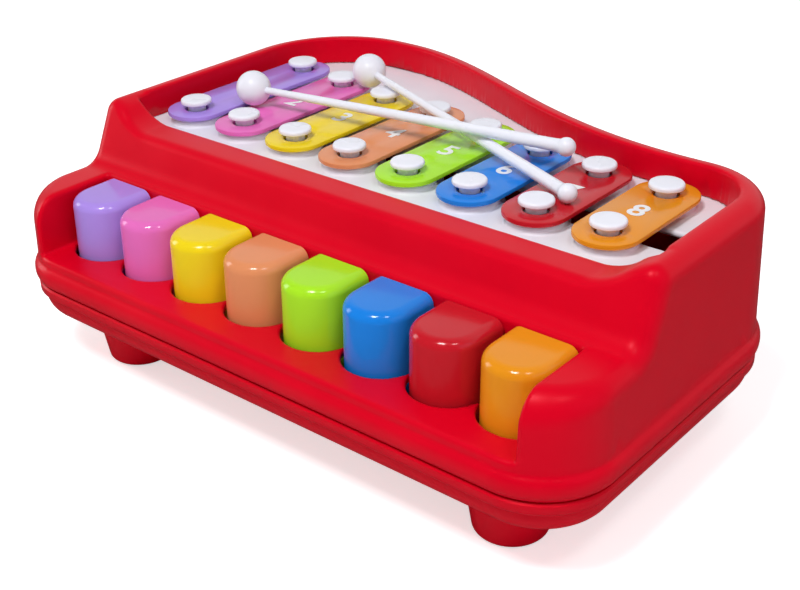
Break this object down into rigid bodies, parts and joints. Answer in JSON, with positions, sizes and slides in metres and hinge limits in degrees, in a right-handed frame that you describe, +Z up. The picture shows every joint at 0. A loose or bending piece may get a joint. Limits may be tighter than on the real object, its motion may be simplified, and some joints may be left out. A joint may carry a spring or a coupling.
{
  "type": "toy xylophone piano",
  "caption": "Small tabletop toy piano in red plastic: rounded coloured keys throw hammers at painted metal bars held by white pegs, with two white mallets lying on the bars.",
  "frame": {"origin": "middle of the footprint, on the surface that the toy stands on", "axes": "+X to the player's right along the row of keys, +Y away from the player, +Z up"},
  "size_m": [0.2458, 0.1802, 0.0956],
  "materials": {
    "red_plastic": "moulded, semi gloss",
    "white_plastic": "moulded, semi gloss",
    "steel": "drawn rod",
    "lilac_plastic": "moulded, glossy",
    "lilac_paint": "enamel on steel",
    "pink_plastic": "moulded, glossy",
    "pink_paint": "enamel on steel",
    "yellow_plastic": "moulded, glossy",
    "yellow_paint": "enamel on steel",
    "peach_plastic": "moulded, glossy",
    "peach_paint": "enamel on steel",
    "green_plastic": "moulded, glossy",
    "green_paint": "enamel on steel",
    "blue_plastic": "moulded, glossy",
    "blue_paint": "enamel on steel",
    "crimson_plastic": "moulded, glossy",
    "crimson_paint": "enamel on steel",
    "orange_plastic": "moulded, glossy",
    "orange_paint": "enamel on steel"
  },
  "bodies": {
    "toy": {"upper_shell": "red_plastic", "base_shell": "red_plastic", "sound_board": "white_plastic", "key_axle": "steel", "foot_front_left": "red_plastic", "foot_front_right": "red_plastic", "foot_rear_left": "red_plastic", "foot_rear_right": "red_plastic", "bar_1": "lilac_paint", "bar_2": "pink_paint", "bar_3": "yellow_paint", "bar_4": "peach_paint", "bar_5": "green_paint", "bar_6": "blue_paint", "bar_7": "crimson_paint", "bar_8": "orange_paint", "peg_front_1": "white_plastic", "peg_rear_1": "white_plastic", "peg_front_2": "white_plastic", "peg_rear_2": "white_plastic", "peg_front_3": "white_plastic", "peg_rear_3": "white_plastic", "peg_front_4": "white_plastic", "peg_rear_4": "white_plastic", "peg_front_5": "white_plastic", "peg_rear_5": "white_plastic", "peg_front_6": "white_plastic", "peg_rear_6": "white_plastic", "peg_front_7": "white_plastic", "peg_rear_7": "white_plastic", "peg_front_8": "white_plastic", "peg_rear_8": "white_plastic"},
    "key_1": {"key_1": "lilac_plastic", "hammer_1": "white_plastic"},
    "key_2": {"key_2": "pink_plastic", "hammer_2": "white_plastic"},
    "key_3": {"key_3": "yellow_plastic", "hammer_3": "white_plastic"},
    "key_4": {"key_4": "peach_plastic", "hammer_4": "white_plastic"},
    "key_5": {"key_5": "green_plastic", "hammer_5": "white_plastic"},
    "key_6": {"key_6": "blue_plastic", "hammer_6": "white_plastic"},
    "key_7": {"key_7": "crimson_plastic", "hammer_7": "white_plastic"},
    "key_8": {"key_8": "orange_plastic", "hammer_8": "white_plastic"},
    "mallet_lower": {"mallet_stick_lower": "white_plastic", "mallet_ball_lower": "white_plastic"},
    "mallet_upper": {"mallet_stick_upper": "white_plastic", "mallet_ball_upper": "white_plastic"}
  },
  "joints": [
    {"name": "key_1_hinge", "type": "hinge", "parent": "toy", "child": "key_1", "pos_m": [0, -0.0258, 0.0543], "axis": [1, 0, 0], "range_deg": [0, 8], "stiffness_Nm_per_rad": 0.15, "springref_deg": -5.73},
    {"name": "key_2_hinge", "type": "hinge", "parent": "toy", "child": "key_2", "pos_m": [0, -0.0258, 0.0543], "axis": [1, 0, 0], "range_deg": [0, 8], "stiffness_Nm_per_rad": 0.15, "springref_deg": -5.73},
    {"name": "key_3_hinge", "type": "hinge", "parent": "toy", "child": "key_3", "pos_m": [0, -0.0258, 0.0543], "axis": [1, 0, 0], "range_deg": [0, 8], "stiffness_Nm_per_rad": 0.15, "springref_deg": -5.73},
    {"name": "key_4_hinge", "type": "hinge", "parent": "toy", "child": "key_4", "pos_m": [0, -0.0258, 0.0543], "axis": [1, 0, 0], "range_deg": [0, 8], "stiffness_Nm_per_rad": 0.15, "springref_deg": -5.73},
    {"name": "key_5_hinge", "type": "hinge", "parent": "toy", "child": "key_5", "pos_m": [0, -0.0258, 0.0543], "axis": [1, 0, 0], "range_deg": [0, 8], "stiffness_Nm_per_rad": 0.15, "springref_deg": -5.73},
    {"name": "key_6_hinge", "type": "hinge", "parent": "toy", "child": "key_6", "pos_m": [0, -0.0258, 0.0543], "axis": [1, 0, 0], "range_deg": [0, 8], "stiffness_Nm_per_rad": 0.15, "springref_deg": -5.73},
    {"name": "key_7_hinge", "type": "hinge", "parent": "toy", "child": "key_7", "pos_m": [0, -0.0258, 0.0543], "axis": [1, 0, 0], "range_deg": [0, 8], "stiffness_Nm_per_rad": 0.15, "springref_deg": -5.73},
    {"name": "key_8_hinge", "type": "hinge", "parent": "toy", "child": "key_8", "pos_m": [0, -0.0258, 0.0543], "axis": [1, 0, 0], "range_deg": [0, 8], "stiffness_Nm_per_rad": 0.15, "springref_deg": -5.73},
    {"name": "mallet_lower_lift", "type": "slide", "parent": "toy", "child": "mallet_lower", "axis": [0, 0, 1], "range_m": [0, 0.15]},
    {"name": "mallet_upper_lift", "type": "slide", "parent": "mallet_lower", "child": "mallet_upper", "axis": [0, 0, 1], "range_m": [0, 0.15]}
  ]
}
